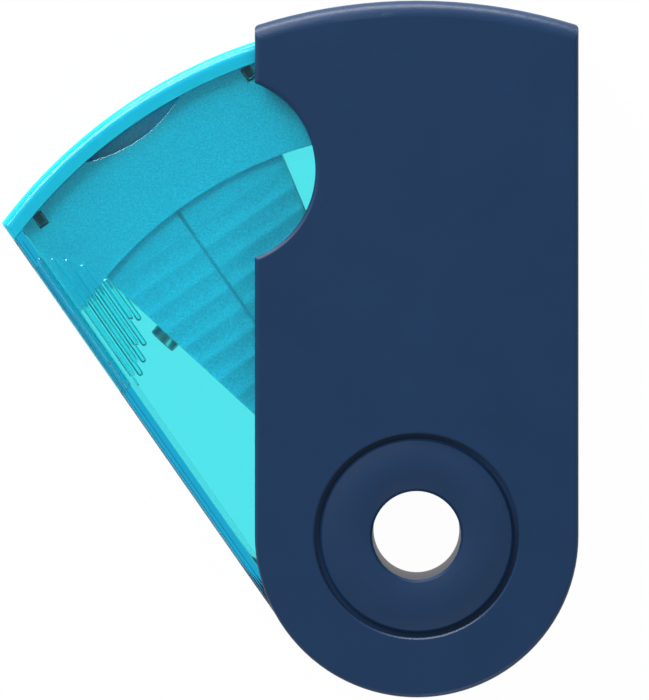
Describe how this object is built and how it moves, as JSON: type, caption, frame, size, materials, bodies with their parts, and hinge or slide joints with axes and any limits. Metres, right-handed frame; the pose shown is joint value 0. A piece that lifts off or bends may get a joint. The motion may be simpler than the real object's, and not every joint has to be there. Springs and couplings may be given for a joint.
{
  "type": "pocket pencil sharpener",
  "caption": "Pocket pencil sharpener: a clear shavings container that swings out of a dark sleeve on a hollow hub, closed by a sharpener insert for standard and thick pencils.",
  "frame": {"origin": "centre of the hanging hole, on the pivot axis, halfway through the thickness", "axes": "+X to the right, +Y along the sleeve towards its top wall, +Z out of the front plate"},
  "size_m": [0.0554, 0.0668, 0.0194],
  "materials": {
    "sleeve_plastic": "satin moulded dark blue",
    "hub_plastic": "satin moulded dark blue",
    "clear_plastic": "polished clear cyan",
    "insert_plastic": "moulded opaque cyan",
    "blade_steel": "ground steel",
    "screw_steel": "turned steel"
  },
  "bodies": {
    "sleeve": {"sleeve": "sleeve_plastic", "front_hub_cap": "hub_plastic", "back_hub_cap": "hub_plastic"},
    "container": {"container": "clear_plastic", "sharpener_insert": "insert_plastic", "standard_blade": "blade_steel", "thick_blade": "blade_steel", "blade_screws": "screw_steel"}
  },
  "joints": [
    {"name": "container_swing", "type": "hinge", "parent": "sleeve", "child": "container", "pos_m": [0, 0, 0], "axis": [0, 0, 1], "range_deg": [-35, 260]}
  ]
}
